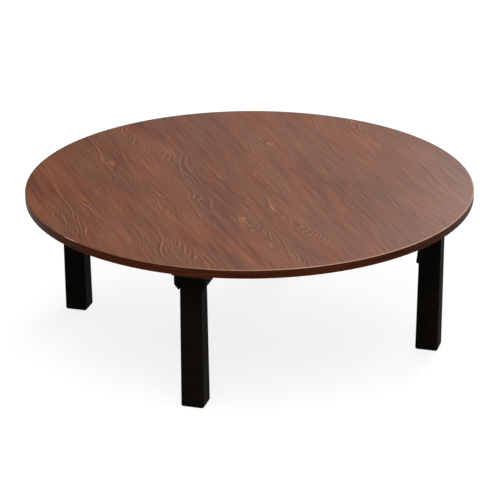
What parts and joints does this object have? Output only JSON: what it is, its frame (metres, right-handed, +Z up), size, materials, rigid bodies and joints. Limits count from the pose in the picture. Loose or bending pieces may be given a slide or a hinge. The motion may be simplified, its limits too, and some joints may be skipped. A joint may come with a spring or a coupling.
{
  "type": "folding low table",
  "caption": "Low round folding table with a walnut-look top and black square legs that fold inwards on lockable moulded hinges.",
  "frame": {"origin": "on the floor, under the centre of the round top", "axes": "+Z up; the four legs stand on +X, +Y, -X and -Y"},
  "size_m": [0.7999, 0.8, 0.278],
  "materials": {
    "core_board": "raw medium-density fibreboard",
    "top_walnut": "satin walnut-look melamine facing",
    "under_facing": "matt dark brown backing facing",
    "edge_walnut": "satin dark walnut edge band",
    "block_wood": "dark brown stained wood",
    "bracket_plastic": "satin black moulded plastic",
    "leg_plastic": "semi-gloss black moulded plastic",
    "lever_plastic": "satin black moulded plastic",
    "foot_rubber": "matt black soft foot plug",
    "pin_steel": "zinc-plated steel",
    "wire_steel": "spring steel wire",
    "screw_steel": "zinc-plated steel"
  },
  "bodies": {
    "table": {"board_core": "core_board", "top_facing": "top_walnut", "bottom_facing": "under_facing", "edge_band": "edge_walnut", "hinge_screws": "screw_steel", "mount_block_right": "block_wood", "hinge_bracket_right": "bracket_plastic", "pivot_pin_right": "pin_steel", "lock_wire_right": "wire_steel", "mount_block_back": "block_wood", "hinge_bracket_back": "bracket_plastic", "pivot_pin_back": "pin_steel", "lock_wire_back": "wire_steel", "mount_block_left": "block_wood", "hinge_bracket_left": "bracket_plastic", "pivot_pin_left": "pin_steel", "lock_wire_left": "wire_steel", "mount_block_front": "block_wood", "hinge_bracket_front": "bracket_plastic", "pivot_pin_front": "pin_steel", "lock_wire_front": "wire_steel"},
    "right_leg": {"leg_right": "leg_plastic", "foot_plug_right": "foot_rubber"},
    "right_lever": {"release_lever_right": "lever_plastic"},
    "back_leg": {"leg_back": "leg_plastic", "foot_plug_back": "foot_rubber"},
    "back_lever": {"release_lever_back": "lever_plastic"},
    "left_leg": {"leg_left": "leg_plastic", "foot_plug_left": "foot_rubber"},
    "left_lever": {"release_lever_left": "lever_plastic"},
    "front_leg": {"leg_front": "leg_plastic", "foot_plug_front": "foot_rubber"},
    "front_lever": {"release_lever_front": "lever_plastic"}
  },
  "joints": [
    {"name": "right_leg_fold", "type": "hinge", "parent": "table", "child": "right_leg", "pos_m": [0.3268, 0, 0.2245], "axis": [0, 1, 0], "range_deg": [0, 88], "deforming": ["lock_wire_right"]},
    {"name": "right_lever_press", "type": "hinge", "parent": "right_leg", "child": "right_lever", "pos_m": [0.321, 0, 0.1985], "axis": [0, 1, 0], "range_deg": [-4.2, 0], "stiffness_Nm_per_rad": 1, "springref_deg": 1.72},
    {"name": "back_leg_fold", "type": "hinge", "parent": "table", "child": "back_leg", "pos_m": [0, 0.3268, 0.2245], "axis": [-1, 0, 0], "range_deg": [0, 88], "deforming": ["lock_wire_back"]},
    {"name": "back_lever_press", "type": "hinge", "parent": "back_leg", "child": "back_lever", "pos_m": [0, 0.321, 0.1985], "axis": [-1, 0, 0], "range_deg": [-4.2, 0], "stiffness_Nm_per_rad": 1, "springref_deg": 1.72},
    {"name": "left_leg_fold", "type": "hinge", "parent": "table", "child": "left_leg", "pos_m": [-0.3268, 0, 0.2245], "axis": [0, -1, 0], "range_deg": [0, 88], "deforming": ["lock_wire_left"]},
    {"name": "left_lever_press", "type": "hinge", "parent": "left_leg", "child": "left_lever", "pos_m": [-0.321, 0, 0.1985], "axis": [0, -1, 0], "range_deg": [-4.2, 0], "stiffness_Nm_per_rad": 1, "springref_deg": 1.72},
    {"name": "front_leg_fold", "type": "hinge", "parent": "table", "child": "front_leg", "pos_m": [0, -0.3268, 0.2245], "axis": [1, 0, 0], "range_deg": [0, 88], "deforming": ["lock_wire_front"]},
    {"name": "front_lever_press", "type": "hinge", "parent": "front_leg", "child": "front_lever", "pos_m": [0, -0.321, 0.1985], "axis": [1, 0, 0], "range_deg": [-4.2, 0], "stiffness_Nm_per_rad": 1, "springref_deg": 1.72}
  ]
}
